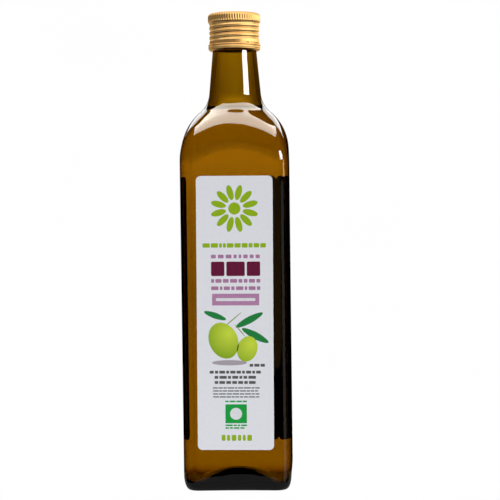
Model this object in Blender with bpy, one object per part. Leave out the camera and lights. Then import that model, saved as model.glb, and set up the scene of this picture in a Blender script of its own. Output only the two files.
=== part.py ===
"""Square olive oil bottle in dark amber glass, filled, labelled and shut with a gold screw cap.

Units are metres and +Z is up. The origin is the centre of the base, and the front looks along -Y.
"""
import math

import bmesh
import bpy

# Body: a square prism with rounded upright edges
BODY_HALF = 0.0326
BODY_CORNER = 0.0072
WALL = 0.0028

# Base: a rounded heel, a flat ring that the bottle stands on, and a domed push-up
HEEL_WIDTH = 0.0044
HEEL_HEIGHT = 0.0095
RING_WIDTH = 0.0016
PUSH_UP = 0.0068
PUSH_UP_POWER = 4.0
FLOOR_POWER = 2.0
FLOOR_EDGE = 0.0048
FLOOR_RISE = 0.0068
FLOOR_HEEL = 0.0060

# Shoulder: arcs off the walls up to the cone's tilt, then a fillet into the tapered neck
CONE_TILT = math.radians(50.4)
CONE_OFFSET = 0.19045
SHOULDER_RADIUS = 0.0296
FILLET_RADIUS = 0.0166
NECK_TAPER = math.radians(5.3)
NECK_TOP = 0.2662
NECK_TOP_RADIUS = 0.0135

# Finish: the plain collar of glass inside the cap, with an open mouth
FINISH_RADIUS = 0.0131
FINISH_BORE = NECK_TOP_RADIUS - WALL
RIM_HEIGHT = 0.2885
RIM_ROUND = 0.0008

# Oil, up to its level at the foot of the neck
OIL_LEVEL = 0.2318
GAP = 0.0003

# Cap: knurled top band, threaded skirt and a tamper ring that small bridges hold
CAP_TOP = 0.2896
CAP_EDGE = 0.0020
KNURL_COUNT = 64
KNURL_RADIUS = 0.01615
KNURL_DEPTH = 0.00035
KNURL_BOTTOM = 0.2844
SKIRT_RADIUS = 0.0154
THREAD_TOP = 0.2834
THREAD_BOTTOM = 0.2722
THREAD_PITCH = 0.0030
THREAD_DEPTH = 0.00065
THREAD_PHASE = 0.35
THREAD_RINGS = 15
SLIT_BOTTOM = 0.2709
SLIT_HEIGHT = 0.00055
SLIT_MARGIN = 0.0003
SLIT_INNER = 0.0138
SLIT_OUTER = 0.0170
BEAD_RADIUS = 0.0161
BEAD_TOP = 0.2706
BEAD_FOOT = 0.2678
CAP_BOTTOM = 0.2665
LIP_RADIUS = 0.0140
LIP_BORE = 0.0135
LIP_HEIGHT = 0.0004
CAP_SHELL = 0.0006
THREAD_BORE = 0.0142
BRIDGE_COUNT = 8
BRIDGE_ANGLE = math.radians(4.5)
BRIDGE_START = math.radians(-95.0)

# Labels, front and back
LABEL_WIDTH = 0.0458
LABEL_BOTTOM = 0.0254
LABEL_TOP = 0.1897
BACK_WIDTH = 0.0480
BACK_BOTTOM = 0.0242
BACK_TOP = 0.1900
LABEL_CORNER = 0.0028
LABEL_THICKNESS = 0.0003

# Fineness of the outlines
FLAT_STEPS = 6
CORNER_STEPS = 6
ARC_STEPS = 6
DOME_STEPS = 5
HEEL_STEPS = 4
SLIT_STEPS = 3
LABEL_STEPS = 5

QUARTER = math.pi / 2


def clear_scene():
    """Remove whatever the file opened with."""
    for thing in list(bpy.data.objects):
        bpy.data.objects.remove(thing, do_unlink=True)


def make_material(name, color, roughness, metallic=0.0, transmission=0.0, ior=1.5):
    """A Principled material with one set of values."""
    material = bpy.data.materials.new(name)
    material.use_nodes = True
    shader = material.node_tree.nodes["Principled BSDF"]
    shader.inputs["Base Color"].default_value = (*color, 1.0)
    shader.inputs["Roughness"].default_value = roughness
    shader.inputs["Metallic"].default_value = metallic
    shader.inputs["Transmission Weight"].default_value = transmission
    shader.inputs["IOR"].default_value = ior
    return material


def square_reach(half, corner, angle):
    """Distance from the axis to the outline of a rounded square, in one direction about Z."""
    folded = abs((angle + QUARTER / 2) % QUARTER - QUARTER / 2)
    centre = half - corner
    reach = half / math.cos(folded)
    if reach * math.sin(folded) > centre:
        along = centre * (math.cos(folded) + math.sin(folded))
        across = centre * (math.cos(folded) - math.sin(folded))
        reach = along + math.sqrt(corner ** 2 - across ** 2)
    return reach


def body_reach(angle, inset):
    """Distance from the axis to the body's wall, moved in by the inset."""
    return square_reach(BODY_HALF - inset, BODY_CORNER - inset, angle)


def outline_angles():
    """Directions of the outline's points: even steps over each flat and over each corner."""
    edge = math.atan2(BODY_HALF - BODY_CORNER, BODY_HALF)
    angles = []
    for side in range(4):
        for step in range(FLAT_STEPS):
            angles.append(side * QUARTER + edge * (2 * step / FLAT_STEPS - 1))
        for step in range(CORNER_STEPS):
            angles.append(side * QUARTER + edge + (QUARTER - 2 * edge) * step / CORNER_STEPS)
    return angles


def even_angles(count):
    """Directions at even steps round a circle."""
    return [2 * math.pi * step / count for step in range(count)]


def ring(angles, place):
    """One closed row of points, where place gives the reach and height in each direction."""
    points = []
    for angle in angles:
        reach, height = place(angle)
        points.append((reach * math.cos(angle), reach * math.sin(angle), height))
    return points


def fillet_centre():
    """Centre of the arc that joins the cone to the neck, as reach and height."""
    cone = CONE_OFFSET + FILLET_RADIUS
    neck = NECK_TOP_RADIUS * math.cos(NECK_TAPER) + NECK_TOP * math.sin(NECK_TAPER) + FILLET_RADIUS
    between = math.sin(CONE_TILT - NECK_TAPER)
    return (
        (neck * math.sin(CONE_TILT) - cone * math.sin(NECK_TAPER)) / between,
        (cone * math.cos(NECK_TAPER) - neck * math.cos(CONE_TILT)) / between,
    )


def shoulder_place(tilt, inset):
    """Place on the arc from the wall to the cone, where the surface leans in by the tilt."""
    radius = SHOULDER_RADIUS - inset

    def place(angle):
        wall = body_reach(angle, inset)
        below = (wall - radius) * math.cos(CONE_TILT) + radius + inset
        start = (CONE_OFFSET - below) / math.sin(CONE_TILT)
        return wall - radius * (1 - math.cos(tilt)), start + radius * math.sin(tilt)

    return place


def fillet_place(tilt, inset):
    """Place on the arc from the cone to the neck, the same in every direction."""
    reach, height = fillet_centre()
    radius = FILLET_RADIUS + inset
    point = (reach - radius * math.cos(tilt), height - radius * math.sin(tilt))
    return lambda angle: point


def upper_rings(angles, inset):
    """Rows of the skin from the top of the walls to the foot of the neck."""
    rows = []
    for step in range(ARC_STEPS + 1):
        rows.append(ring(angles, shoulder_place(CONE_TILT * step / ARC_STEPS, inset)))
    for step in range(ARC_STEPS + 1):
        tilt = CONE_TILT + (NECK_TAPER - CONE_TILT) * step / ARC_STEPS
        rows.append(ring(angles, fillet_place(tilt, inset)))
    return rows


def dome_place(inset, rim, part, height):
    """Place on a dome: round near its middle, and square like the body at its edge."""
    round_reach = BODY_HALF - inset - rim

    def place(angle):
        square = body_reach(angle, inset) - rim
        return part * (round_reach + (square - round_reach) * part ** 3), height

    return place


def dome_rows(angles, inset, rim, low, rise, power):
    """Rows of a domed base from its middle to its edge, with a single point in the middle."""
    rows = [[(0.0, 0.0, low + rise)]]
    for step in range(1, DOME_STEPS + 1):
        part = step / DOME_STEPS
        height = low + rise * (1 - part ** power)
        rows.append(ring(angles, dome_place(inset, rim, part, height)))
    return rows


def heel_row(angles, inset, turn, low, width, rise):
    """One row of the rounded edge of a base: turn is 0 at the base and a quarter at the wall."""
    drop = width * (1 - math.sin(turn))
    height = low + rise * (1 - math.cos(turn))
    return ring(angles, lambda angle: (body_reach(angle, inset) - drop, height))


def heel_rows(angles, inset, low, width, rise):
    """Rows of the rounded edge between a base and the walls, above the row at the base."""
    turns = [QUARTER * step / HEEL_STEPS for step in range(1, HEEL_STEPS + 1)]
    return [heel_row(angles, inset, turn, low, width, rise) for turn in turns]


def circle_row(angles, radius, height):
    """A level round row."""
    return ring(angles, lambda angle: (radius, height))


def add_faces(mesh, lower, upper):
    """Join two rows with faces. A row may be one point, or have twice the other's points."""
    count = max(len(lower), len(upper))
    for step in range(count):
        after = (step + 1) % count
        if len(lower) == 1:
            mesh.faces.new((lower[0], upper[after], upper[step]))
        elif len(upper) == 1:
            mesh.faces.new((lower[step], lower[after], upper[0]))
        elif len(lower) == len(upper):
            mesh.faces.new((lower[step], lower[after], upper[after], upper[step]))
        elif step % 2 == 0:
            add_doubling(mesh, lower, upper, step)


def add_doubling(mesh, lower, upper, step):
    """Join one span of the coarser row to two spans of the finer one."""
    coarse_below = len(lower) < len(upper)
    coarse = lower if coarse_below else upper
    fine = upper if coarse_below else lower
    start = coarse[step // 2]
    end = coarse[(step // 2 + 1) % len(coarse)]
    first = fine[step]
    middle = fine[step + 1]
    last = fine[(step + 2) % len(fine)]
    for corners in ((start, end, middle), (start, middle, first), (end, last, middle)):
        mesh.faces.new(corners if coarse_below else corners[::-1])


def build_object(name, mesh, material, smooth_angle=math.radians(40.0)):
    """Turn a bmesh into a named object with its material and smooth round faces."""
    bmesh.ops.recalc_face_normals(mesh, faces=mesh.faces)
    data = bpy.data.meshes.new(name)
    mesh.to_mesh(data)
    mesh.free()
    data.shade_smooth()
    data.set_sharp_from_angle(angle=smooth_angle)
    data.materials.append(material)
    thing = bpy.data.objects.new(name, data)
    bpy.context.scene.collection.objects.link(thing)
    return thing


def loft(name, rows, material):
    """A closed body through a list of rows, which starts and ends in a single point."""
    mesh = bmesh.new()
    corners = [[mesh.verts.new(point) for point in row] for row in rows]
    for lower, upper in zip(corners, corners[1:]):
        add_faces(mesh, lower, upper)
    return build_object(name, mesh, material)


def make_glass():
    """The bottle: outer skin up to the rim, then the inner skin down to the floor."""
    angles = outline_angles()
    rows = dome_rows(angles, 0.0, HEEL_WIDTH + RING_WIDTH, 0.0, PUSH_UP, PUSH_UP_POWER)
    rows.append(heel_row(angles, 0.0, 0.0, 0.0, HEEL_WIDTH, HEEL_HEIGHT))
    rows += heel_rows(angles, 0.0, 0.0, HEEL_WIDTH, HEEL_HEIGHT)
    rows += upper_rings(angles, 0.0)
    rows.append(circle_row(angles, NECK_TOP_RADIUS, NECK_TOP))
    rows.append(circle_row(angles, FINISH_RADIUS, NECK_TOP))
    rows.append(circle_row(angles, FINISH_RADIUS, RIM_HEIGHT - RIM_ROUND))
    rows.append(circle_row(angles, FINISH_RADIUS - RIM_ROUND, RIM_HEIGHT))
    rows.append(circle_row(angles, FINISH_BORE + RIM_ROUND, RIM_HEIGHT))
    rows.append(circle_row(angles, FINISH_BORE, RIM_HEIGHT - RIM_ROUND))
    rows.append(circle_row(angles, FINISH_BORE, NECK_TOP))
    rows += reversed(upper_rings(angles, WALL))
    rows += reversed(heel_rows(angles, WALL, FLOOR_EDGE, FLOOR_HEEL, FLOOR_HEEL))
    rows += reversed(dome_rows(angles, WALL, FLOOR_HEEL, FLOOR_EDGE, FLOOR_RISE, FLOOR_POWER))
    glass = make_material("amber_glass", (0.32, 0.17, 0.01), 0.03, transmission=1.0)
    return loft("bottle_glass", rows, glass)


def make_oil():
    """The oil: what the glass holds up to its level, a hair clear of the wall."""
    angles = outline_angles()
    inset = WALL + GAP
    heel = FLOOR_HEEL - GAP
    rows = dome_rows(angles, inset, heel, FLOOR_EDGE + GAP, FLOOR_RISE, FLOOR_POWER)
    rows += heel_rows(angles, inset, FLOOR_EDGE + GAP, heel, heel)
    rows += [row for row in upper_rings(angles, inset) if row[0][2] < OIL_LEVEL - 2 * GAP]
    reach, middle = fillet_centre()
    radius = FILLET_RADIUS + inset
    brim = reach - math.sqrt(radius ** 2 - (middle - OIL_LEVEL) ** 2)
    rows.append(circle_row(angles, brim, OIL_LEVEL))
    rows.append([(0.0, 0.0, OIL_LEVEL)])
    oil = make_material("olive_oil", (0.62, 0.46, 0.05), 0.0, transmission=1.0, ior=1.47)
    return loft("olive_oil", rows, oil)


def thread_place(height):
    """Place on the threaded skirt: a right-handed groove, shallow at both ends."""
    span = THREAD_TOP - THREAD_BOTTOM
    ease = math.sin(math.pi * (height - THREAD_BOTTOM) / span) ** 0.5

    def place(angle):
        turn = (height - THREAD_BOTTOM) / THREAD_PITCH - angle / (2 * math.pi) - THREAD_PHASE
        groove = (0.5 - 0.5 * math.cos(2 * math.pi * turn)) ** 2
        return SKIRT_RADIUS - THREAD_DEPTH * ease * groove, height

    return place


def knurl_place(height):
    """Place on the knurled band: ridges and valleys by turns."""
    pitch = 2 * math.pi / KNURL_COUNT

    def place(angle):
        in_valley = round(angle / (pitch / 2)) % 2
        return KNURL_RADIUS - KNURL_DEPTH * in_valley, height

    return place


def cap_outer_rows(angles):
    """Rows of the cap's outer skin, from the middle of its top to its lower lip."""
    fine = even_angles(2 * KNURL_COUNT)
    edge = KNURL_RADIUS - CAP_EDGE
    rows = [[(0.0, 0.0, CAP_TOP)], circle_row(angles, edge, CAP_TOP)]
    for turn in (math.radians(30.0), math.radians(60.0)):
        radius = edge + (CAP_EDGE - KNURL_DEPTH / 2) * math.sin(turn)
        rows.append(circle_row(angles, radius, CAP_TOP - CAP_EDGE * (1 - math.cos(turn))))
    rows.append(ring(fine, knurl_place(CAP_TOP - CAP_EDGE)))
    rows.append(ring(fine, knurl_place(KNURL_BOTTOM)))
    rows.append(circle_row(angles, SKIRT_RADIUS, (KNURL_BOTTOM + THREAD_TOP) / 2))
    for step in range(THREAD_RINGS + 1):
        height = THREAD_TOP + (THREAD_BOTTOM - THREAD_TOP) * step / THREAD_RINGS
        rows.append(ring(angles, thread_place(height)))
    bead = (
        (SKIRT_RADIUS, SLIT_BOTTOM + SLIT_HEIGHT + SLIT_MARGIN),
        (BEAD_RADIUS, BEAD_TOP),
        (BEAD_RADIUS, BEAD_FOOT),
        (SKIRT_RADIUS, (BEAD_FOOT + CAP_BOTTOM) / 2),
        (LIP_RADIUS, CAP_BOTTOM),
    )
    for radius, height in bead:
        rows.append(circle_row(angles, radius, height))
    return rows


def cap_inner_rows(angles):
    """Rows of the cap's inner skin, from its lower lip to the middle of its top."""
    bead_bore = SKIRT_RADIUS - CAP_SHELL / 2
    knurl_bore = KNURL_RADIUS - KNURL_DEPTH - CAP_SHELL
    inner = (
        (LIP_BORE, CAP_BOTTOM),
        (LIP_BORE, CAP_BOTTOM + LIP_HEIGHT),
        (bead_bore, BEAD_FOOT + CAP_SHELL / 2),
        (bead_bore, SLIT_BOTTOM - SLIT_MARGIN),
        (THREAD_BORE, THREAD_BOTTOM),
        (THREAD_BORE, THREAD_TOP),
        (knurl_bore, KNURL_BOTTOM),
        (knurl_bore, CAP_TOP - CAP_EDGE),
        (knurl_bore - CAP_EDGE / 2, CAP_TOP - CAP_SHELL),
    )
    rows = [circle_row(angles, radius, height) for radius, height in inner]
    rows.append([(0.0, 0.0, CAP_TOP - CAP_SHELL)])
    return rows


def make_slit_cutter():
    """Eight flat ring sectors that part the tamper ring from the skirt between its bridges."""
    mesh = bmesh.new()
    pitch = 2 * math.pi / BRIDGE_COUNT
    slit_top = SLIT_BOTTOM + SLIT_HEIGHT
    section = (
        (SLIT_INNER, SLIT_BOTTOM),
        (SLIT_OUTER, SLIT_BOTTOM),
        (SLIT_OUTER, slit_top),
        (SLIT_INNER, slit_top),
    )
    for bay in range(BRIDGE_COUNT):
        start = BRIDGE_START + bay * pitch + BRIDGE_ANGLE / 2
        columns = []
        for step in range(SLIT_STEPS + 1):
            angle = start + (pitch - BRIDGE_ANGLE) * step / SLIT_STEPS
            column = []
            for radius, height in section:
                point = (radius * math.cos(angle), radius * math.sin(angle), height)
                column.append(mesh.verts.new(point))
            columns.append(column)
        for left, right in zip(columns, columns[1:]):
            for side in range(4):
                after = (side + 1) % 4
                mesh.faces.new((left[side], left[after], right[after], right[side]))
        mesh.faces.new(columns[0])
        mesh.faces.new(columns[-1][::-1])
    cutter = build_object("slit_cutter", mesh, make_material("cutter", (0.5, 0.5, 0.5), 0.5))
    cutter.hide_render = True
    cutter.display_type = "WIRE"
    return cutter


def make_cap():
    """The screw cap, one shell with the tamper ring on its bridges."""
    angles = even_angles(KNURL_COUNT)
    gold = make_material("gold_aluminium", (0.83, 0.62, 0.33), 0.3, metallic=1.0)
    cap = loft("screw_cap", cap_outer_rows(angles) + cap_inner_rows(angles), gold)
    cut = cap.modifiers.new("tamper_slits", "BOOLEAN")
    cut.operation = "DIFFERENCE"
    cut.solver = "EXACT"
    cut.object = make_slit_cutter()
    return cap


def make_label(name, side, width, low, high, material):
    """A thin upright panel with rounded corners, just off one face of the body."""
    mesh = bmesh.new()
    near = side * (BODY_HALF + GAP)
    far = side * (BODY_HALF + GAP + LABEL_THICKNESS)
    outline = []
    for turn in range(4):
        sideways = 1 if turn in (0, 3) else -1
        upper = turn in (0, 1)
        centre_x = sideways * (width / 2 - LABEL_CORNER)
        centre_z = high - LABEL_CORNER if upper else low + LABEL_CORNER
        for step in range(LABEL_STEPS + 1):
            angle = QUARTER * (turn + step / LABEL_STEPS)
            outline.append((
                centre_x + LABEL_CORNER * math.cos(angle),
                centre_z + LABEL_CORNER * math.sin(angle),
            ))
    back = [mesh.verts.new((x, near, z)) for x, z in outline]
    front = [mesh.verts.new((x, far, z)) for x, z in outline]
    add_faces(mesh, back, front)
    mesh.faces.new(back)
    mesh.faces.new(front[::-1])
    return build_object(name, mesh, material)


def make_labels():
    """The front and back labels."""
    paper = make_material("label_front", (0.78, 0.80, 0.84), 0.5)
    front = make_label("label_front", -1.0, LABEL_WIDTH, LABEL_BOTTOM, LABEL_TOP, paper)
    paper = make_material("label_back", (0.74, 0.75, 0.78), 0.6)
    back = make_label("label_back", 1.0, BACK_WIDTH, BACK_BOTTOM, BACK_TOP, paper)
    return front, back


clear_scene()
make_glass()
make_oil()
make_cap()
make_labels()
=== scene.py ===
"""Looks of the square olive oil bottle: amber glass, oil, gold screw cap and paper labels."""
import math
import random

import bpy
from mathutils import Matrix, Vector


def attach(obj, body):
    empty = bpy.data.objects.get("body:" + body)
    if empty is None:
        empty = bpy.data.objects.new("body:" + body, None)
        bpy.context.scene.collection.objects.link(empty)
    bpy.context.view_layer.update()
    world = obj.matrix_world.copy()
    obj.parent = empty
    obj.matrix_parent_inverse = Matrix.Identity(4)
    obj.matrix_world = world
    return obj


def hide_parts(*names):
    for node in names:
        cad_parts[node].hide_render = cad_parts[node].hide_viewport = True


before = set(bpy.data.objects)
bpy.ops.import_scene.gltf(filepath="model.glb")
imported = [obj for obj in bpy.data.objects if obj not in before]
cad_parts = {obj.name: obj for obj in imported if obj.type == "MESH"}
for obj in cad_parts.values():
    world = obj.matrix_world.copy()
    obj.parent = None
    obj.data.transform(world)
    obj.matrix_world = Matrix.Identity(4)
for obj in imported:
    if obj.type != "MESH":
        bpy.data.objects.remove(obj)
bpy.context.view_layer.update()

# Body of the bottle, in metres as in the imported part
BODY_HALF = 0.0326
BODY_CORNER = 0.0072
WALL = 0.0028
HEEL_WIDTH = 0.0044
HEEL_HEIGHT = 0.0095
RING_WIDTH = 0.0016
PUSH_UP_POWER = 4.0
FLOOR_POWER = 2.0
PUSH_UP = 0.0068
FLOOR_EDGE = 0.0048
FLOOR_RISE = 0.0068
FLOOR_HEEL = 0.0060
CONE_TILT = math.radians(50.4)
CONE_OFFSET = 0.19045
SHOULDER_RADIUS = 0.0296
FILLET_RADIUS = 0.0166
NECK_TAPER = math.radians(5.3)
NECK_TOP = 0.2662
NECK_TOP_RADIUS = 0.0135
FINISH_RADIUS = 0.0131
FINISH_BORE = NECK_TOP_RADIUS - WALL
RIM_HEIGHT = 0.2885
RIM_ROUND = 0.0008
FLAT_STEPS = 16
CORNER_STEPS = 22
ARC_STEPS = 22
HEEL_STEPS = 12
DOME_STEPS = 16
GLASS_THROUGH = (0.183, 0.0858, 0.0008)

# Oil, which reaches a little into the glass so that no air shows between them
OIL_LEVEL = 0.2318
OIL_REACH = 0.00015
OIL_BEVEL = 0.00002
OIL_RING = 0.4
OIL_THROUGH = (0.87, 0.71, 0.15)
LEVEL_CLEAR = 0.0004
LEVEL_ROW = 0.0002

# Cap, where a profile gives each row's radius and height
CAP_TOP = 0.2896
CAP_EDGE = 0.0020
CAP_ANGLES = 768
EDGE_ROWS = 10
FACE_DISH = 0.00012
FACE_PROFILE = (
    (0.004, CAP_TOP - FACE_DISH), (0.008, CAP_TOP - 0.0001), (0.0118, CAP_TOP - 0.00008),
    (0.0130, CAP_TOP),
)
KNURL_COUNT = 64
KNURL_RADIUS = 0.01615
KNURL_DEPTH = 0.00032
KNURL_BOTTOM = 0.2844
KNURL_ROWS = 8
KNURL_START = 4
KNURL_FADE = 0.8
KNURL_FLARE = 0.0001
SKIRT_RADIUS = 0.0154
THREAD_TOP = 0.2834
THREAD_BOTTOM = 0.2722
THREAD_ROWS = 76
THREAD_PITCH = 0.0030
THREAD_DEPTH = 0.00065
THREAD_PHASE = 0.35
GROOVE_PROFILE = (
    (0.01595, KNURL_BOTTOM - 0.00025), (0.0156, KNURL_BOTTOM - 0.0005),
    (0.01545, THREAD_TOP + 0.0002),
)
SLIT_BOTTOM = 0.2709
SLIT_HEIGHT = 0.00055
SLIT_DEPTH = 0.0010
SLIT_EDGE = 0.00004
SLIT_FLARE = 0.0002
BEAD_RADIUS = 0.0161
BEAD_TOP = 0.2706
BEAD_FOOT = 0.2678
CAP_BOTTOM = 0.2665
CAP_CEILING = CAP_TOP - 0.0010
LIP_RADIUS = 0.0140
CAP_INSIDE = 0.01352
BEAD_PROFILE = (
    (BEAD_RADIUS - 0.00010, BEAD_TOP + 0.00005), (BEAD_RADIUS, BEAD_TOP - 0.00035),
    (BEAD_RADIUS - 0.00004, BEAD_TOP - 0.0008), (BEAD_RADIUS - 0.00030, BEAD_TOP - 0.0011),
    (BEAD_RADIUS - 0.00004, BEAD_TOP - 0.0014), (BEAD_RADIUS, BEAD_TOP - 0.0019),
    (BEAD_RADIUS - 0.00006, BEAD_TOP - 0.0023), (BEAD_RADIUS - 0.00028, BEAD_FOOT + 0.0001),
    (BEAD_RADIUS - 0.00024, BEAD_FOOT - 0.0002), (SKIRT_RADIUS, BEAD_FOOT - 0.0007),
    (0.0147, CAP_BOTTOM + 0.0002), (LIP_RADIUS, CAP_BOTTOM),
    (CAP_INSIDE, CAP_BOTTOM), (CAP_INSIDE, CAP_BOTTOM + 0.0006), (CAP_INSIDE, CAP_CEILING),
)
BRIDGE_COUNT = 8
BRIDGE_ANGLE = math.radians(4.5)
BRIDGE_START = math.radians(-95.0)

# Labels
LABEL_WIDTH = 0.0458
LABEL_LEAN = math.radians(0.34)
LABEL_BOTTOM = 0.0254
LABEL_TOP = 0.1897
LABEL_CORNER = 0.0028
BACK_WIDTH = 0.0480
BACK_BOTTOM = 0.0242
BACK_TOP = 0.1900
LABEL_FACE = 0.0332
PAPER_INSET = 0.00008
PAPER_FACE = LABEL_FACE - PAPER_INSET
PAPER_BACK = BODY_HALF - PAPER_INSET
PRINT_MARGIN = 0.0003
EDGE_WIDTH = 0.0005
EDGE_CORNER = 0.0035
INK_STEP = 0.000025
PAPER_WHITE = (0.80, 0.81, 0.85)
EDGE_TINT = (0.88, 0.90, 0.92)
LIME = (0.30, 0.48, 0.006)
MAUVE = (0.42, 0.20, 0.36)
MAUVE_LIGHT = (0.47, 0.23, 0.41)
BURGUNDY = (0.13, 0.004, 0.035)
DARK_GREY = (0.10, 0.10, 0.10)
GREEN = (0.004, 0.36, 0.05)
LEAF = (0.010, 0.22, 0.045)
STEM = (0.22, 0.33, 0.05)
SHADE_GREY = (0.42, 0.37, 0.43)
OLIVE_LIGHT = (0.58, 0.72, 0.05)
OLIVE_SHADE = (0.17, 0.33, 0.002)

# Camera, fitted to the photograph
CAMERA_YAW = math.radians(2.951)
CAMERA_PITCH = math.radians(2.134)
CAMERA_TURN = math.radians(-0.504)
CAMERA_ROLL = math.radians(-0.717)
CAMERA_DISTANCE = 0.91
CAMERA_HEIGHT = 0.178
SENSOR_WIDTH = 36.0
FOCAL_PIXELS = 1470.1
IMAGE_PIXELS = 500.0

# Studio, in metres
STAGE_RADIUS = 4.0
FLOOR_HEIGHT = -0.0004
# A near-black disc under the bottle stands for its shadow on the table: painted shadow
SHADE_RADIUS = 0.036
SHADE_HEIGHT = -0.0002
GLOW_LONG = 0.082
GLOW_SHORT = 0.034
GLOW_LEAST = 0.05
GLOW_HEIGHT = -0.0003
LIGHTS_CENTRE = 0.2
CEILING_HEIGHT = 1.13
CEILING = (
    (-0.64, -0.34), (-0.42, -0.39), (-0.27, -0.43), (0.0, -0.51), (0.20, -0.52), (0.36, -0.48),
    (0.74, -0.26), (0.78, 0.30), (0.62, 0.92), (0.46, 0.60), (0.30, 0.34), (0.02, 0.18),
    (-0.27, 0.34), (-0.45, 0.70), (-0.66, 0.80), (-0.68, 0.20),
)

# Lights on the glass: azimuth and elevation, distance, width and height, radiance, colour
GLASS_LIGHTS = {
    "strip_right": (56.0, 14.5, 1.2, 0.53, 0.36, 22.0),
    "strip_right_mid": (76, 3, 1.2, 0.40, 0.12, 5.0, (1.0, 0.76, 0.36)),
    "strip_right_low": (57.5, -20, 1.2, 0.60, 0.87, 0.42),
    "front_fill": (0, 3, 1.6, 2.4, 0.8, 0.2, (1.0, 0.62, 0.15)),
    "backdrop_top": (180, 28, 1.5, 1.55, 0.64, 2.7),
}

# Brightness of the world: by the angle away from a face, by the part of the way from left to
# right, and by the elevation
WORLD_AROUND = ((0, 1.0), (9, 0.98), (18, 0.74), (25, 0.54), (34, 0.44), (45, 0.42))
WORLD_SIDE = (
    (0, 1.0), (0.07, 1.3), (0.15, 1.9), (0.30, 1.5), (0.42, 1.0), (0.58, 1.0), (0.70, 1.2),
    (0.85, 1.45), (0.93, 1.2), (1, 1.0),
)
WORLD_RISE = (
    (-90, 0.9), (-40, 1.3), (-20, 1.7), (-10.5, 1.4), (-7.4, 1.4), (-4, 1.2), (0, 1.5),
    (1.6, 2.05), (3, 1.3), (4.4, 0.82), (30, 0.82), (90, 0.8),
)

# Brightness of the cap's surround by azimuth from the front and by elevation: in general, and
# in a band just above the cap's own level
WRAP_REACH = 4.5
WRAP_CENTRE = 0.28
WRAP_AROUND = (
    (-180, 0.8), (-140, 0.7), (-110, 0.3), (-85, 0.5), (-60, 0.6), (-35, 0.6), (-10, 1.0),
    (10, 1.05), (35, 1.0), (60, 1.25), (90, 1.25), (115, 0.45), (140, 0.8), (180, 0.8),
)
WRAP_RISE = (
    (-90, 0.12), (-50, 0.2), (-20, 0.6), (-3, 0.8), (0, 0.05), (12, 0.05), (16, 1.2),
    (25, 1.3), (50, 1.0), (90, 1.0),
)
WRAP_LEVEL = (
    (-180, 0.4), (-130, 0.22), (-60, 0.17), (5, 0.2), (25, 0.5), (45, 1.6), (75, 1.9),
    (120, 1.6), (150, 1.3), (180, 0.9),
)
WRAP_LEVEL_RISE = ((-90, 0.0), (-3, 0.0), (0, 1.0), (12, 1.0), (16, 0.0), (90, 0.0))

QUARTER = math.pi / 2


# Outlines

def square_reach(half, corner, angle):
    """Distance from the axis to the outline of a rounded square."""
    folded = abs((angle + QUARTER / 2) % QUARTER - QUARTER / 2)
    centre = half - corner
    reach = half / math.cos(folded)
    if reach * math.sin(folded) > centre:
        along = centre * (math.cos(folded) + math.sin(folded))
        across = centre * (math.cos(folded) - math.sin(folded))
        reach = along + math.sqrt(corner ** 2 - across ** 2)
    return reach


def body_reach(angle, inset):
    return square_reach(BODY_HALF - inset, BODY_CORNER - inset, angle)


def outline_angles():
    """Angles round the body, closer together at its corners."""
    edge = math.atan2(BODY_HALF - BODY_CORNER, BODY_HALF)
    angles = []
    for side in range(4):
        for step in range(FLAT_STEPS):
            angles.append(side * QUARTER + edge * (2 * step / FLAT_STEPS - 1))
        for step in range(CORNER_STEPS):
            angles.append(side * QUARTER + edge + (QUARTER - 2 * edge) * step / CORNER_STEPS)
    return angles


def even_angles(count):
    return [2 * math.pi * step / count for step in range(count)]


def ring(angles, place):
    points = []
    for angle in angles:
        reach, height = place(angle)
        points.append((reach * math.cos(angle), reach * math.sin(angle), height))
    return points


def neck_radius(height):
    return NECK_TOP_RADIUS + (NECK_TOP - height) * math.tan(NECK_TAPER)


def fillet_centre():
    cone = CONE_OFFSET + FILLET_RADIUS
    neck = (NECK_TOP_RADIUS * math.cos(NECK_TAPER) + NECK_TOP * math.sin(NECK_TAPER)
            + FILLET_RADIUS)
    between = math.sin(CONE_TILT - NECK_TAPER)
    return ((neck * math.sin(CONE_TILT) - cone * math.sin(NECK_TAPER)) / between,
            (cone * math.cos(NECK_TAPER) - neck * math.cos(CONE_TILT)) / between)


def shoulder_row(angles, tilt, inset, drop=0.0):
    radius = SHOULDER_RADIUS - inset

    def place(angle):
        wall = body_reach(angle, inset)
        below = (wall - radius) * math.cos(CONE_TILT) + radius + inset
        start = (CONE_OFFSET - below) / math.sin(CONE_TILT)
        return wall - radius * (1 - math.cos(tilt)), start + radius * math.sin(tilt) - drop

    return ring(angles, place)


def fillet_row(angles, tilt, inset):
    reach, height = fillet_centre()
    radius = FILLET_RADIUS + inset
    point = (reach - radius * math.cos(tilt), height - radius * math.sin(tilt))
    return ring(angles, lambda angle: point)


def neck_reach(height, inset):
    """Radius of the neck or of its foot at this height."""
    reach, middle = fillet_centre()
    radius = FILLET_RADIUS + inset
    if height > middle - radius * math.sin(NECK_TAPER):
        return neck_radius(height) - inset / math.cos(NECK_TAPER)
    return reach - math.sqrt(radius ** 2 - (middle - height) ** 2)


def upper_rows(angles, inset):
    """Rows from the walls over the shoulder to the foot of the neck."""
    rows = [shoulder_row(angles, 0.0, inset, drop) for drop in (0.12, 0.03, 0.006, 0.002)]
    for step in range(ARC_STEPS + 1):
        rows.append(shoulder_row(angles, CONE_TILT * step / ARC_STEPS, inset))
    for step in range(ARC_STEPS + 1):
        tilt = CONE_TILT + (NECK_TAPER - CONE_TILT) * step / ARC_STEPS
        rows.append(fillet_row(angles, tilt, inset))
    return rows


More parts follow.
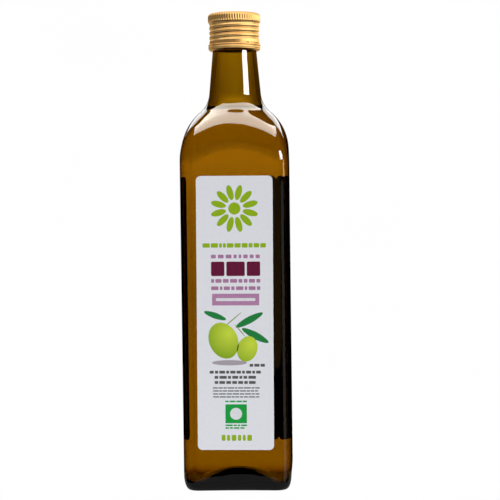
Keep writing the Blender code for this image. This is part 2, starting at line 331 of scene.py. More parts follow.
def dome_rows(angles, inset, rim, low, rise, power):
    """Rows of a domed base from its middle to its edge."""
    rows = [[(0.0, 0.0, low + rise)]]
    round_reach = BODY_HALF - inset - rim
    for step in range(1, DOME_STEPS + 1):
        part = step / DOME_STEPS
        height = low + rise * (1 - part ** power)

        def place(angle):
            square = body_reach(angle, inset) - rim
            return part * (round_reach + (square - round_reach) * part ** 3), height

        rows.append(ring(angles, place))
    return rows


def heel_rows(angles, inset, low, width, rise):
    rows = []
    for step in range(HEEL_STEPS + 1):
        turn = QUARTER * step / HEEL_STEPS
        drop = width * (1 - math.sin(turn))
        height = low + rise * (1 - math.cos(turn))
        rows.append(ring(angles, lambda angle: (body_reach(angle, inset) - drop, height)))
    return rows


def circle_row(angles, radius, height):
    return ring(angles, lambda angle: (radius, height))


def circle_rows(angles, profile):
    return [circle_row(angles, radius, height) for radius, height in profile]


# Meshes

def add_object(name, data):
    made = bpy.data.objects.new(name, data)
    bpy.context.scene.collection.objects.link(made)
    return made


def make_piece(name, points, faces, material, sharp=None):
    data = bpy.data.meshes.new(name)
    data.from_pydata(points, [], faces)
    data.validate()
    data.shade_smooth()
    if sharp is not None:
        data.set_sharp_from_angle(angle=math.radians(sharp))
    data.materials.append(material)
    return add_object(name, data)


def loft(name, rows, material, sharp=None):
    """A closed body through rows of equal counts, which may start and end in a single point."""
    points = []
    starts = []
    for row in rows:
        starts.append(len(points))
        points += row
    faces = []
    for low in range(len(rows) - 1):
        first, second = rows[low], rows[low + 1]
        a, b = starts[low], starts[low + 1]
        count = max(len(first), len(second))
        for step in range(count):
            after = (step + 1) % count
            if len(first) == 1:
                faces.append((a, b + after, b + step))
            elif len(second) == 1:
                faces.append((a + step, a + after, b))
            else:
                faces.append((a + step, a + after, b + after, b + step))
    return make_piece(name, points, faces, material, sharp)


def set_wet(piece, values):
    """Store where glass and oil touch, as 1 there and 0 elsewhere, for their materials."""
    layer = piece.data.attributes.new("wet", "FLOAT", "POINT")
    layer.data.foreach_set("value", values)


def set_piece(piece, slot, *nodes):
    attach(piece, "root")
    if nodes:
        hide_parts(*nodes)
    return piece


# Materials

class Shader:
    """A Principled material with short ways to add its nodes."""

    def __init__(self, name):
        self.material = bpy.data.materials.new(name)
        self.material.use_nodes = True
        self.tree = self.material.node_tree
        self.principled = self.tree.nodes["Principled BSDF"]
        self.output = self.tree.nodes["Material Output"]

    def set(self, **values):
        for key, value in values.items():
            self.principled.inputs[key.replace("_", " ")].default_value = value

    def node(self, kind, **values):
        made = self.tree.nodes.new(kind)
        for key, value in values.items():
            setattr(made, key, value)
        return made

    def link(self, source, target):
        self.tree.links.new(source, target)

    def place(self):
        return self.node("ShaderNodeTexCoord").outputs["Object"]

    def noise(self, scale, detail=3.0, rough=0.5, stretch=(1, 1, 1)):
        mapping = self.node("ShaderNodeMapping")
        mapping.inputs["Scale"].default_value = stretch
        self.link(self.place(), mapping.inputs["Vector"])
        made = self.node("ShaderNodeTexNoise")
        made.inputs["Scale"].default_value = scale
        made.inputs["Detail"].default_value = detail
        made.inputs["Roughness"].default_value = rough
        self.link(mapping.outputs["Vector"], made.inputs["Vector"])
        return made.outputs["Fac"]

    def spread(self, source, low, high, start=0.3, end=0.7):
        made = self.node("ShaderNodeMapRange")
        made.inputs["From Min"].default_value = start
        made.inputs["From Max"].default_value = end
        made.inputs["To Min"].default_value = low
        made.inputs["To Max"].default_value = high
        self.link(source, made.inputs["Value"])
        return made.outputs["Result"]

    def blend(self, factor, first, second):
        made = self.node("ShaderNodeMix", data_type="RGBA")
        made.inputs[6].default_value = (*first, 1.0)
        made.inputs[7].default_value = (*second, 1.0)
        self.link(factor, made.inputs["Factor"])
        return made.outputs[2]

    def color(self, factor, first, second):
        self.link(self.blend(factor, first, second), self.principled.inputs["Base Color"])

    def rough(self, source, low, high):
        self.link(self.spread(source, low, high), self.principled.inputs["Roughness"])

    def dull_where_wet(self):
        """No mirror where glass and oil touch."""
        wet = self.node("ShaderNodeAttribute", attribute_name="wet")
        tint = self.blend(wet.outputs["Fac"], (1.0, 1.0, 1.0), (0.0, 0.0, 0.0))
        self.link(tint, self.principled.inputs["Specular Tint"])

    def bump(self, source, strength, distance):
        made = self.node("ShaderNodeBump")
        made.inputs["Strength"].default_value = strength
        made.inputs["Distance"].default_value = distance
        self.link(source, made.inputs["Height"])
        self.link(made.outputs["Normal"], self.principled.inputs["Normal"])

    def absorb(self, color, density):
        made = self.node("ShaderNodeVolumeAbsorption")
        made.inputs["Color"].default_value = (*color, 1.0)
        made.inputs["Density"].default_value = density
        self.link(made.outputs["Volume"], self.output.inputs["Volume"])


def absorption(transmittance, length):
    """Colour and density that let this much of each colour through over this length."""
    rates = [-math.log(max(part, 1e-6)) / length for part in transmittance]
    density = max(rates) / 0.98
    return [1 - rate / density for rate in rates], density


def glass_material():
    shader = Shader("amber_glass")
    shader.set(Transmission_Weight=1.0, IOR=1.52, Roughness=0.0)
    shader.color(shader.noise(45, 2.0), (1.0, 1.0, 1.0), (0.965, 0.955, 0.93))
    shader.dull_where_wet()
    shader.bump(shader.noise(60, 2.0, 0.4, (1, 1, 0.35)), 0.10, 0.0003)
    shader.absorb(*absorption(GLASS_THROUGH, 2 * WALL))
    return shader.material


def oil_material():
    shader = Shader("olive_oil")
    shader.set(Transmission_Weight=1.0, IOR=1.47, Roughness=0.0)
    shader.color(shader.noise(25, 2.0), (1.0, 1.0, 1.0), (0.98, 0.97, 0.95))
    shader.dull_where_wet()
    shader.absorb(*absorption(OIL_THROUGH, 2 * (BODY_HALF - WALL)))
    return shader.material


def gold_material():
    shader = Shader("gold_lacquer")
    shader.set(Metallic=1.0, IOR=1.5, Specular_Tint=(1.0, 0.80, 0.52, 1.0))
    streaks = shader.spread(shader.noise(900, 4.0, 0.6, (1, 1, 0.15)), 0, 1)
    shader.color(streaks, (0.90, 0.54, 0.195), (0.86, 0.50, 0.17))
    shader.rough(shader.noise(1400, 4.0, 0.6), 0.12, 0.18)
    shader.bump(shader.noise(1800, 3.0, 0.6, (1, 1, 0.3)), 0.08, 0.00003)
    return shader.material


def paper_material(name, light, shade):
    shader = Shader(name)
    shader.set(IOR=1.45)
    shader.color(shader.spread(shader.noise(420, 5.0, 0.65), 0, 1), light, shade)
    shader.rough(shader.noise(900, 3.0), 0.42, 0.55)
    shader.bump(shader.noise(1500, 4.0, 0.6), 0.12, 0.00003)
    return shader.material


def ink_material(name, color):
    dark = [part * 0.9 for part in color]
    return paper_material(name, color, dark)


# Glass and oil

def make_glass():
    """The shell from the push-up up its outside, over the rim and down its inside."""
    angles = outline_angles()
    rows = dome_rows(angles, 0.0, HEEL_WIDTH + RING_WIDTH, 0.0, PUSH_UP, PUSH_UP_POWER)
    rows += heel_rows(angles, 0.0, 0.0, HEEL_WIDTH, HEEL_HEIGHT)
    rows += upper_rows(angles, 0.0)
    rows += circle_rows(angles, (
        (NECK_TOP_RADIUS, NECK_TOP), (FINISH_RADIUS, NECK_TOP),
        (FINISH_RADIUS, RIM_HEIGHT - RIM_ROUND), (FINISH_RADIUS - RIM_ROUND, RIM_HEIGHT),
        (FINISH_BORE + RIM_ROUND, RIM_HEIGHT), (FINISH_BORE, RIM_HEIGHT - RIM_ROUND)))
    outer = sum(len(row) for row in rows)
    rows.append(circle_row(angles, FINISH_BORE, NECK_TOP))
    inner = upper_rows(angles, WALL)
    rows += reversed([row for row in inner if row[0][2] > OIL_LEVEL + LEVEL_CLEAR])
    for height in (OIL_LEVEL + LEVEL_ROW, OIL_LEVEL - LEVEL_ROW):
        rows.append(circle_row(angles, neck_reach(height, WALL), height))
    rows += reversed([row for row in inner if row[0][2] < OIL_LEVEL - LEVEL_CLEAR])
    rows += reversed(heel_rows(angles, WALL, FLOOR_EDGE, FLOOR_HEEL, FLOOR_HEEL))
    rows += reversed(dome_rows(angles, WALL, FLOOR_HEEL, FLOOR_EDGE, FLOOR_RISE, FLOOR_POWER))
    glass = loft("bottle_glass_shell", rows, glass_material(), 35)
    set_wet(glass, [1.0 if index >= outer and vertex.co.z < OIL_LEVEL else 0.0
                    for index, vertex in enumerate(glass.data.vertices)])
    return set_piece(glass, "amber_glass", "bottle_glass")


def make_oil():
    angles = outline_angles()
    inset = WALL - OIL_REACH
    heel = FLOOR_HEEL + OIL_REACH
    foot = FLOOR_EDGE - OIL_REACH
    brim = neck_reach(OIL_LEVEL, inset)
    rows = dome_rows(angles, inset, heel, foot, FLOOR_RISE, FLOOR_POWER)
    rows += heel_rows(angles, inset, foot, heel, heel)
    rows += [row for row in upper_rows(angles, inset) if row[0][2] < OIL_LEVEL - LEVEL_CLEAR]
    rows.append(circle_row(angles, brim, OIL_LEVEL - OIL_BEVEL / 2))
    side = sum(len(row) for row in rows)
    rows.append(circle_row(angles, brim - OIL_BEVEL, OIL_LEVEL))
    rows.append(circle_row(angles, brim * OIL_RING, OIL_LEVEL))
    rows.append([(0.0, 0.0, OIL_LEVEL)])
    oil = loft("olive_oil_fill", rows, oil_material(), 60)
    set_wet(oil, [1.0 if index < side else 0.0 for index in range(len(oil.data.vertices))])
    return set_piece(oil, "oil", "olive_oil")


# Screw cap

def thread_radius(angle, height):
    if not THREAD_BOTTOM < height < THREAD_TOP:
        return SKIRT_RADIUS
    part = (height - THREAD_BOTTOM) / (THREAD_TOP - THREAD_BOTTOM)
    ease = math.sin(math.pi * part) ** 0.5
    turn = (height - THREAD_BOTTOM) / THREAD_PITCH - angle / (2 * math.pi) - THREAD_PHASE
    groove = (0.5 - 0.5 * math.cos(2 * math.pi * turn)) ** 2
    return SKIRT_RADIUS - THREAD_DEPTH * ease * groove


def knurl_shape(angle):
    """0 on a ridge and 1 in a valley."""
    turn = angle * KNURL_COUNT / (2 * math.pi)
    return math.sin(math.pi * turn) ** 2


def on_bridge(angle):
    pitch = 2 * math.pi / BRIDGE_COUNT
    away = (angle - BRIDGE_START + pitch / 2) % pitch - pitch / 2
    return abs(away) < BRIDGE_ANGLE / 2


def cap_rows(angles):
    """Rows from the middle of the cap's face down its outside and up its inside."""
    rows = [[(0.0, 0.0, CAP_TOP - FACE_DISH)]]
    rows += circle_rows(angles, FACE_PROFILE)
    edge = KNURL_RADIUS - CAP_EDGE
    for step in range(EDGE_ROWS + 1):
        turn = QUARTER * step / EDGE_ROWS
        height = CAP_TOP - CAP_EDGE * (1 - math.cos(turn))
        ease = max(0.0, (step - KNURL_START) / (EDGE_ROWS - KNURL_START))

        def place(angle):
            reach = edge + CAP_EDGE * math.sin(turn)
            return reach - KNURL_DEPTH * ease * knurl_shape(angle), height

        rows.append(ring(angles, place))
    for step in range(1, KNURL_ROWS + 1):
        part = step / KNURL_ROWS
        height = CAP_TOP - CAP_EDGE + (KNURL_BOTTOM - CAP_TOP + CAP_EDGE) * part
        fade = max(0.0, part - KNURL_FADE)
        depth = KNURL_DEPTH * (1.0 - fade / (1.0 - KNURL_FADE))

        def place(angle):
            return KNURL_RADIUS - depth * knurl_shape(angle) - KNURL_FLARE * fade, height

        rows.append(ring(angles, place))
    rows += circle_rows(angles, GROOVE_PROFILE)
    for step in range(THREAD_ROWS + 1):
        height = THREAD_TOP + (THREAD_BOTTOM - THREAD_TOP) * step / THREAD_ROWS
        rows.append(ring(angles, lambda angle: (thread_radius(angle, height), height)))
    slit_top = SLIT_BOTTOM + SLIT_HEIGHT
    for height, depth in ((slit_top + SLIT_EDGE, 0.0), (slit_top, SLIT_DEPTH),
                          (SLIT_BOTTOM, SLIT_DEPTH), (SLIT_BOTTOM - SLIT_EDGE, -SLIT_FLARE)):

        def place(angle):
            return SKIRT_RADIUS - (0.0 if on_bridge(angle) else depth), height

        rows.append(ring(angles, place))
    rows += circle_rows(angles, BEAD_PROFILE)
    rows.append([(0.0, 0.0, CAP_CEILING)])
    return rows


def make_cap():
    rows = cap_rows(even_angles(CAP_ANGLES))
    cap = loft("screw_cap_shell", rows, gold_material(), 50)
    cap.data.flip_normals()
    return set_piece(cap, "gold_cap", "screw_cap")


# Label paper and print

def rounded_outline(half_width, low, high, corner, steps=10):
    outline = []
    for turn in range(4):
        sideways = 1 if turn in (0, 3) else -1
        centre_z = high - corner if turn in (0, 1) else low + corner
        for step in range(steps + 1):
            angle = QUARTER * (turn + step / steps)
            outline.append((sideways * (half_width - corner) + corner * math.cos(angle),
                            centre_z + corner * math.sin(angle)))
    return outline


def slab(name, outlines, side, near, far, material):
    """Flat sheets with these outlines, seen from outside, between two distances from the axis."""
    points = []
    faces = []
    for outline in outlines:
        first = len(points)
        count = len(outline)
        points += [(x * -side, side * near, z) for x, z in outline]
        points += [(x * -side, side * far, z) for x, z in outline]
        faces.append(tuple(range(first, first + count)))
        faces.append(tuple(range(first + 2 * count - 1, first + count - 1, -1)))
        for step in range(count):
            after = (step + 1) % count
            faces.append((first + after, first + step, first + count + step, first + count + after))
    return make_piece(name, points, faces, material, 30)


def leaned(outline):
    """The front label stands a little askew, with its foot towards -X."""
    middle = (LABEL_BOTTOM + LABEL_TOP) / 2
    turned = []
    for x, z in outline:
        across = x * math.cos(LABEL_LEAN) + (z - middle) * math.sin(LABEL_LEAN)
        along = middle - x * math.sin(LABEL_LEAN) + (z - middle) * math.cos(LABEL_LEAN)
        turned.append((across, along))
    return turned


def bar(left, right, top, bottom, corner=0.0002):
    """A bar on a label, in metres from its middle line and down from its top edge."""
    middle = (left + right) / 2
    outline = rounded_outline((right - left) / 2, LABEL_TOP - bottom, LABEL_TOP - top, corner, 3)
    return [(x + middle, z) for x, z in outline]


def oval(across, down, half_width, half_height, turn=0.0, point=1.0, steps=40):
    """An oval field; with point above 1 its ends are drawn out like a leaf's."""
    outline = []
    for step in range(steps):
        angle = 2 * math.pi * step / steps
        x = half_width * math.cos(angle)
        z = half_height * math.copysign(abs(math.sin(angle)) ** point, math.sin(angle))
        outline.append((across + x * math.cos(turn) - z * math.sin(turn),
                        LABEL_TOP - down + x * math.sin(turn) + z * math.cos(turn)))
    return outline


def ink_front(name, color, level, outlines):
    """Print on the front label as thin sheets of one colour."""
    far = PAPER_FACE + INK_STEP * level
    outlines = [leaned(outline) for outline in outlines]
    piece = slab(name, outlines, -1, PAPER_FACE - INK_STEP, far, ink_material(name, color))
    return set_piece(piece, "front_paper")


def ink_back(name, color, outlines):
    far = PAPER_FACE + INK_STEP
    piece = slab(name, outlines, 1, PAPER_FACE - INK_STEP, far, ink_material(name, color))
    return set_piece(piece, "back_paper")


def line_block(seed, left, right, top, count, pitch, height, gap=0.0):
    """Lines of short bars that stand for small print."""
    chance = random.Random(seed)
    bars = []
    for row in range(count):
        x = left
        while x < right - 0.001:
            end = min(right, x + chance.uniform(0.0015, 0.0045)) if gap else right
            high = top + row * pitch
            bars.append(bar(x, end, high, high + height, height * 0.2))
            x = end + gap
    return bars


def olive_material(name, across, down, light, shade):
    """Ink that is brightest near one spot and darker round it, like a lit olive."""
    shader = Shader(name)
    shader.set(IOR=1.45, Roughness=0.45)
    away = shader.node("ShaderNodeVectorMath", operation="DISTANCE")
    shader.link(shader.place(), away.inputs[0])
    away.inputs[1].default_value = (across, -PAPER_FACE, LABEL_TOP - down)
    shader.color(shader.spread(away.outputs["Value"], 0, 1, 0.001, 0.017), light, shade)
    shader.bump(shader.noise(1500, 4.0, 0.6), 0.12, 0.00003)
    return shader.material


def rosette(across, down, reach, count, half_width, half_length):
    leaves = []
    for step in range(count):
        turn = 2 * math.pi * (step + 0.5) / count
        leaves.append(oval(across + reach * math.sin(turn), down - reach * math.cos(turn),
                           half_width, half_length, -turn, 1.0, 24))
    return leaves


def print_front():
    """Generic shapes in the places and colours of the label's print."""
    edge = LABEL_WIDTH / 2 - PRINT_MARGIN
    low = LABEL_TOP - LABEL_BOTTOM - PRINT_MARGIN
    across = (EDGE_CORNER - edge, edge - EDGE_CORNER)
    along = (EDGE_CORNER, low - EDGE_CORNER)
    ink_front("print_edge", EDGE_TINT, 0.5, [
        bar(*across, PRINT_MARGIN, PRINT_MARGIN + EDGE_WIDTH), bar(*across, low - EDGE_WIDTH, low),
        bar(-edge, EDGE_WIDTH - edge, *along), bar(edge - EDGE_WIDTH, edge, *along)])
    ink_front("print_rosette", LIME, 1, (
        rosette(0.0, 0.0195, 0.0098, 12, 0.0019, 0.0046) + [oval(0.0, 0.0195, 0.0036, 0.0036)]))
    ink_front("print_lines_lime", LIME, 1, (
        line_block(2, -0.0192, 0.0198, 0.0402, 1, 0.003, 0.0026, 0.0006)
        + line_block(4, -0.0085, 0.0105, 0.1552, 1, 0.003, 0.0036, 0.0010)))
    ink_front("print_lines_mauve", MAUVE, 1, (
        line_block(12, -0.0142, 0.0150, 0.0470, 1, 0.003, 0.0022, 0.0012)
        + line_block(14, -0.0142, 0.0152, 0.0616, 1, 0.003, 0.0022, 0.0008)
        + line_block(15, -0.0142, 0.0152, 0.0660, 1, 0.003, 0.0022, 0.0008)))
    ink_front("print_bars_burgundy", BURGUNDY, 1, [
        bar(left, right, 0.0512, 0.0598, 0.0008)
        for left, right in ((-0.0142, -0.0062), (-0.0050, 0.0060), (0.0072, 0.0152))])
    ink_front("print_bars_pale", PAPER_WHITE, 2, [
        bar(-0.0115, 0.0123, 0.0730, 0.0748, 0.0008), oval(0.0002, 0.1425, 0.0036, 0.0036)])
    ink_front("print_panel_mauve", MAUVE_LIGHT, 1, [bar(-0.0137, 0.0145, 0.0704, 0.0774, 0.0003)])
    ink_front("print_shade", SHADE_GREY, 1, [oval(-0.0035, 0.1118, 0.0105, 0.0016)])
    ink_front("print_leaves", LEAF, 1.2, [
        oval(0.0085, 0.0862, 0.0021, 0.0092, math.radians(-62), 1.3),
        oval(0.0120, 0.0955, 0.0022, 0.0090, math.radians(-118), 1.3),
        oval(-0.0120, 0.0835, 0.0018, 0.0070, math.radians(70), 1.3)])
    ink_front("print_stem", STEM, 1.4, [
        oval(-0.0015, 0.0860, 0.0003, 0.0070, math.radians(-50), 1.0),
        oval(0.0030, 0.0925, 0.0003, 0.0050, math.radians(40), 1.0)])
    for name, across, down, size, turn in (("print_olive_large", -0.0070, 0.0985, 0.0086, 24),
                                           ("print_olive_small", 0.0072, 0.1035, 0.0060, -18)):
        outline = leaned(oval(across, down, size, size * 1.30, math.radians(turn)))
        ink = olive_material(name, across + size * 0.4, down - size * 0.5, OLIVE_LIGHT, OLIVE_SHADE)
        piece = slab(name, [outline], -1, PAPER_FACE - INK_STEP, PAPER_FACE + INK_STEP * 2, ink)
        set_piece(piece, "front_paper")
    ink_front("print_lines_grey", DARK_GREY, 1, (
        line_block(3, 0.0085, 0.0180, 0.1125, 1, 0.003, 0.0017, 0.0006)
        + line_block(7, -0.0155, 0.0165, 0.1166, 1, 0.0031, 0.0017, 0.0007)
        + line_block(8, -0.0125, 0.0135, 0.1197, 2, 0.0031, 0.0017, 0.0007)
        + line_block(9, -0.0135, 0.0145, 0.1266, 4, 0.0018, 0.0007, 0.0004)))
    ink_front("print_square_green", GREEN, 1, [bar(-0.0062, 0.0067, 0.1368, 0.1482, 0.0004)])
    ink_front("print_square_lines", GREEN, 1, (
        line_block(21, -0.0062, 0.0067, 0.1346, 1, 0.003, 0.0009, 0.0005)
        + line_block(22, -0.0062, 0.0067, 0.1490, 2, 0.0016, 0.0009, 0.0005)))


def make_labels():
    outline = rounded_outline(LABEL_WIDTH / 2, LABEL_BOTTOM, LABEL_TOP, LABEL_CORNER)
    paper = paper_material("front_paper", (0.82, 0.835, 0.885), (0.79, 0.805, 0.86))
    front = slab("label_front_paper", [leaned(outline)], -1, PAPER_BACK, PAPER_FACE, paper)
    set_piece(front, "front_paper", "label_front")
    outline = rounded_outline(BACK_WIDTH / 2, BACK_BOTTOM, BACK_TOP, LABEL_CORNER)
    paper = paper_material("back_paper", (0.82, 0.83, 0.85), (0.79, 0.80, 0.82))
    back = slab("label_back_paper", [outline], 1, PAPER_BACK, PAPER_FACE, paper)
    set_piece(back, "back_paper", "label_back")
    print_front()
    ink_back("print_back_bar", GREEN, [bar(-0.019, 0.019, 0.010, 0.016, 0.0006)])
    ink_back("print_back_lines", DARK_GREY, (
        line_block(11, -0.019, 0.019, 0.022, 9, 0.0034, 0.0016, 0.0007)
        + line_block(13, -0.019, 0.019, 0.058, 12, 0.0028, 0.0013, 0.0006)
        + line_block(17, -0.019, 0.019, 0.100, 14, 0.0026, 0.0011, 0.0005)))
    ink_back("print_back_panel", LIME, [bar(-0.019, 0.019, 0.142, 0.156, 0.0006)])


# Camera, light and backdrop

def make_camera():
    turn = CAMERA_YAW + CAMERA_TURN
    level = math.cos(CAMERA_PITCH)
    forward = Vector((-math.sin(turn) * level, math.cos(turn) * level, -math.sin(CAMERA_PITCH)))
    right = Vector((math.cos(turn), math.sin(turn), 0.0))
    up = right.cross(forward)
    side = right * math.cos(CAMERA_ROLL) + up * math.sin(CAMERA_ROLL)
    top = -right * math.sin(CAMERA_ROLL) + up * math.cos(CAMERA_ROLL)
    data = bpy.data.cameras.new("photo_camera")
    data.sensor_width = SENSOR_WIDTH
    data.lens = FOCAL_PIXELS * SENSOR_WIDTH / IMAGE_PIXELS
    data.clip_start = 0.01
    data.clip_end = 50.0
    camera = add_object("photo_camera", data)
    turned = Matrix((side, top, -forward)).transposed().to_4x4()
    turned.translation = (CAMERA_DISTANCE * math.sin(CAMERA_YAW),
                          -CAMERA_DISTANCE * math.cos(CAMERA_YAW), CAMERA_HEIGHT)
    camera.matrix_world = turned
    bpy.context.scene.camera = camera


def receivers(name, pieces):
    """A set of pieces that a light is kept to."""
    group = bpy.data.collections.new(name)
    for piece in pieces:
        group.objects.link(piece)
    return group


def add_light(name, group, azimuth, elevation, distance, width, height, radiance,
              color=(1, 1, 1)):
    """A soft rectangle of light that faces the bottle, placed by its angles from the front."""
    turn = math.radians(azimuth)
    lift = math.radians(elevation)
    level = math.cos(lift)
    away = Vector((math.sin(turn) * level, -math.cos(turn) * level, math.sin(lift)))
    data = bpy.data.lights.new(name, "AREA")
    data.shape = "RECTANGLE"
    data.size = width
    data.size_y = height
    data.energy = radiance * math.pi * width * height
    data.color = color
    light = add_object(name, data)
    light.location = Vector((0, 0, LIGHTS_CENTRE)) + away * distance
    light.rotation_mode = "QUATERNION"
    light.rotation_quaternion = away.to_track_quat("Z", "Y")
    light.visible_camera = False
    light.visible_transmission = False
    light.light_linking.receiver_collection = group
    return light


def set_ramp(node, stops):
    """Greys at these places from 0 to 1."""
    elements = node.color_ramp.elements
    while len(elements) < len(stops):
        elements.new(0.5)
    for element, (place, value) in zip(elements, stops):
        element.position = place
        element.color = (value, value, value, 1.0)


def math_node(nodes, links, operation, *sources):
    made = nodes.new("ShaderNodeMath")
    made.operation = operation
    for socket, source in zip(made.inputs, sources):
        if isinstance(source, float):
            socket.default_value = source
        else:
            links.new(source, socket)
    return made.outputs[0]


def add_ramp(nodes, links, source, stops):
    ramp = nodes.new("ShaderNodeValToRGB")
    set_ramp(ramp, stops)
    links.new(source, ramp.inputs["Fac"])
    return ramp.outputs["Color"]


def tangent_stops(stops):
    """Angles from a face to places from 0 to 1, by their tangent."""
    return [(min(1.0, math.tan(math.radians(angle))), value) for angle, value in stops]


def turn_stops(stops):
    """Azimuths to places from 0 to 1."""
    return [(0.5 + angle / 360, value) for angle, value in stops]


def sine_stops(stops):
    """Elevations to places from 0 to 1, by their sine."""
    return [(0.5 + 0.5 * math.sin(math.radians(angle)), value) for angle, value in stops]


def make_world():
    """Light behind the glass: brightest square on to the faces, dim towards the corners."""
    world = bpy.data.worlds.new("studio")
    bpy.context.scene.world = world
    world.use_nodes = True
    world.cycles_visibility.glossy = False
    world.cycles_visibility.diffuse = False
    nodes = world.node_tree.nodes
    links = world.node_tree.links
    coordinate = nodes.new("ShaderNodeTexCoord")
    separate = nodes.new("ShaderNodeSeparateXYZ")
    links.new(coordinate.outputs["Generated"], separate.inputs["Vector"])
    x = math_node(nodes, links, "ABSOLUTE", separate.outputs["X"])
    y = math_node(nodes, links, "ABSOLUTE", separate.outputs["Y"])
    least = math_node(nodes, links, "MINIMUM", x, y)
    most = math_node(nodes, links, "MAXIMUM", x, y)
    folded = math_node(nodes, links, "DIVIDE", least, math_node(nodes, links, "ADD", most, 1e-6))
    half = math_node(nodes, links, "MULTIPLY_ADD", separate.outputs["Z"], 0.5, 0.5)
    across = math_node(nodes, links, "MULTIPLY_ADD", separate.outputs["X"], 0.5, 0.5)
    around = add_ramp(nodes, links, folded, tangent_stops(WORLD_AROUND))
    rise = add_ramp(nodes, links, half, sine_stops(WORLD_RISE))
    side = add_ramp(nodes, links, across, WORLD_SIDE)
    strength = math_node(nodes, links, "MULTIPLY", around, rise)
    strength = math_node(nodes, links, "MULTIPLY", strength, side)
    links.new(strength, nodes["Background"].inputs["Strength"])
    nodes["Background"].inputs["Color"].default_value = (1, 1, 1, 1)


def stage_material(name, first, second, scale, tint=(1.0, 1.0, 1.0)):
    """A glow that varies a little between two strengths."""
    material = bpy.data.materials.new(name)
    material.use_nodes = True
    tree = material.node_tree
    tree.nodes.clear()
    place = tree.nodes.new("ShaderNodeTexCoord")
    noise = tree.nodes.new("ShaderNodeTexNoise")
    noise.inputs["Scale"].default_value = scale
    ramp = tree.nodes.new("ShaderNodeValToRGB")
    set_ramp(ramp, ((0.3, first), (0.7, second)))
    for element in ramp.color_ramp.elements:
        element.color = [part * shade for part, shade in zip(element.color, (*tint, 1.0))]
    emission = tree.nodes.new("ShaderNodeEmission")
    output = tree.nodes.new("ShaderNodeOutputMaterial")
    tree.links.new(place.outputs["Object"], noise.inputs["Vector"])
    tree.links.new(noise.outputs["Fac"], ramp.inputs["Fac"])
    tree.links.new(ramp.outputs["Color"], emission.inputs["Color"])
    tree.links.new(emission.outputs["Emission"], output.inputs["Surface"])
    return material


def set_stage(piece, camera=False, glossy=False, through=False):
    piece.visible_camera = camera
    piece.visible_glossy = glossy
    piece.visible_transmission = through
    piece.visible_diffuse = False
    piece.visible_shadow = False


def make_stage():
    """A white floor and backdrop for the camera, and a dark disc under the bottle, seen only
    through the glass, as painted shadow of the bottle on the table.
    """
    white = stage_material("studio_white", 1.0, 0.995, 2.0)
    # Painted shadow: a near-black glow under the bottle for its own shadow on the table
    dark = stage_material("studio_shade", 0.004, 0.003, 2.0)
    angles = even_angles(96)
    floor = [circle_row(angles, STAGE_RADIUS, FLOOR_HEIGHT), [(0.0, 0.0, FLOOR_HEIGHT)]]
    dome = []
    for step in range(24):
        turn = QUARTER * step / 24
        height = STAGE_RADIUS * math.sin(turn) + FLOOR_HEIGHT
        dome.append(circle_row(angles, STAGE_RADIUS * math.cos(turn), height))
    dome.append([(0.0, 0.0, STAGE_RADIUS)])
    shade = [circle_row(angles, SHADE_RADIUS, SHADE_HEIGHT), [(0.0, 0.0, SHADE_HEIGHT)]]
    set_stage(loft("studio_floor", floor, white), camera=True)
    set_stage(loft("studio_dome", dome, white), camera=True)
    set_stage(loft("studio_shade", shade, dark), through=True)


def make_ceiling(group):
    """A wide panel above the bottle, which its shoulder mirrors."""
    points = [(x, y, CEILING_HEIGHT) for x, y in CEILING]
    bright = stage_material("studio_panel", 8.6, 9.2, 1.0, (1.0, 0.95, 0.84))
    panel = make_piece("studio_ceiling", points, [tuple(range(len(points)))], bright)
    set_stage(panel, glossy=True)
    panel.light_linking.receiver_collection = group


def make_floor_glow(group):
    """The pale table beside the bottle, as its heel mirrors it, furthest out before each side."""

    def place(angle):
        lobes = []
        for turn in (angle, angle + QUARTER):
            across = math.hypot(GLOW_SHORT * math.cos(turn), GLOW_LONG * math.sin(turn))
            lobes.append(GLOW_LONG * GLOW_SHORT / across)
        return max(GLOW_LEAST, *lobes), GLOW_HEIGHT

    rows = [ring(even_angles(192), place), [(0.0, 0.0, GLOW_HEIGHT)]]
    disc = loft("studio_glow", rows, stage_material("studio_glow", 0.26, 0.24, 3.0))
    set_stage(disc, glossy=True)
    disc.light_linking.receiver_collection = group


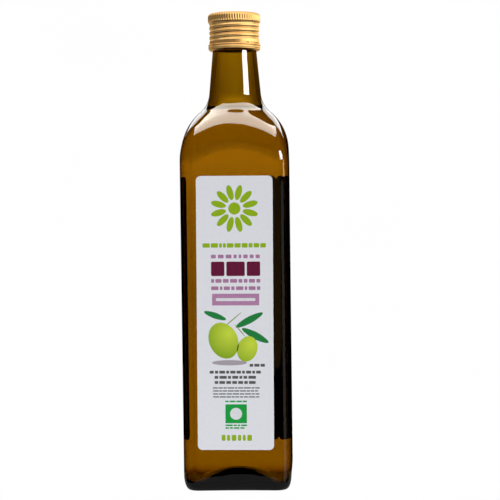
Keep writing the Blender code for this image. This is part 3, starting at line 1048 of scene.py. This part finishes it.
def make_wrap(group):
    """A soft surround that only the cap mirrors, brighter to the right and darker below.

    A band just above the cap's own level is dark to the left and bright to the right.
    """
    material = bpy.data.materials.new("studio_wrap")
    material.use_nodes = True
    nodes = material.node_tree.nodes
    links = material.node_tree.links
    nodes.clear()
    place = nodes.new("ShaderNodeTexCoord")
    separate = nodes.new("ShaderNodeSeparateXYZ")
    links.new(place.outputs["Object"], separate.inputs["Vector"])
    turn = math_node(nodes, links, "ARCTAN2", separate.outputs["X"],
                     math_node(nodes, links, "MULTIPLY", separate.outputs["Y"], -1.0))
    part = math_node(nodes, links, "MULTIPLY_ADD", turn, 0.5 / math.pi, 0.5)
    half = math_node(nodes, links, "MULTIPLY_ADD", separate.outputs["Z"], 0.5 / WRAP_REACH, 0.5)
    ramps = [add_ramp(nodes, links, source, stops) for source, stops in (
        (part, turn_stops(WRAP_AROUND)), (half, sine_stops(WRAP_RISE)),
        (part, turn_stops(WRAP_LEVEL)), (half, sine_stops(WRAP_LEVEL_RISE)))]
    emission = nodes.new("ShaderNodeEmission")
    general = math_node(nodes, links, "MULTIPLY", ramps[0], ramps[1])
    level = math_node(nodes, links, "MULTIPLY", ramps[2], ramps[3])
    links.new(math_node(nodes, links, "ADD", general, level), emission.inputs["Strength"])
    output = nodes.new("ShaderNodeOutputMaterial")
    links.new(emission.outputs["Emission"], output.inputs["Surface"])
    angles = even_angles(96)
    rows = [[(0.0, 0.0, -WRAP_REACH)]]
    for step in range(1, 48):
        lift = math.radians(-90 + 180 * step / 48)
        rows.append(circle_row(angles, WRAP_REACH * math.cos(lift), WRAP_REACH * math.sin(lift)))
    rows.append([(0.0, 0.0, WRAP_REACH)])
    wrap = loft("studio_wrap", rows, material)
    wrap.location = (0.0, 0.0, WRAP_CENTRE)
    set_stage(wrap, glossy=True)
    wrap.light_linking.receiver_collection = group


def pieces_named(*starts):
    return [piece for piece in bpy.context.scene.objects
            if piece.type == "MESH" and piece.name.startswith(starts)]


def make_lights():
    glass = receivers("light_on_glass", pieces_named("bottle", "olive"))
    cap = receivers("light_on_cap", pieces_named("screw"))
    paper = receivers("light_on_paper", pieces_named("label", "print"))
    for name, light in GLASS_LIGHTS.items():
        add_light(name, glass, *light)
    make_ceiling(glass)
    make_floor_glow(glass)
    make_wrap(cap)
    add_light("cap_top", cap, 0, 88, 0.75, 1.4, 1.4, 0.8)
    for name, azimuth in (("paper_front", -10), ("paper_back", 170)):
        add_light(name, paper, azimuth, -16, 1.6, 1.2, 1.2, 5.4).visible_glossy = False


def set_render():
    scene = bpy.context.scene
    scene.view_settings.view_transform = "Standard"
    cycles = scene.cycles
    cycles.max_bounces = 24
    cycles.transmission_bounces = 24
    cycles.glossy_bounces = 8
    cycles.diffuse_bounces = 3
    cycles.use_denoising = True
    cycles.sample_clamp_indirect = 8.0


make_glass()
make_oil()
make_cap()
make_labels()
make_camera()
make_world()
make_lights()
make_stage()
set_render()
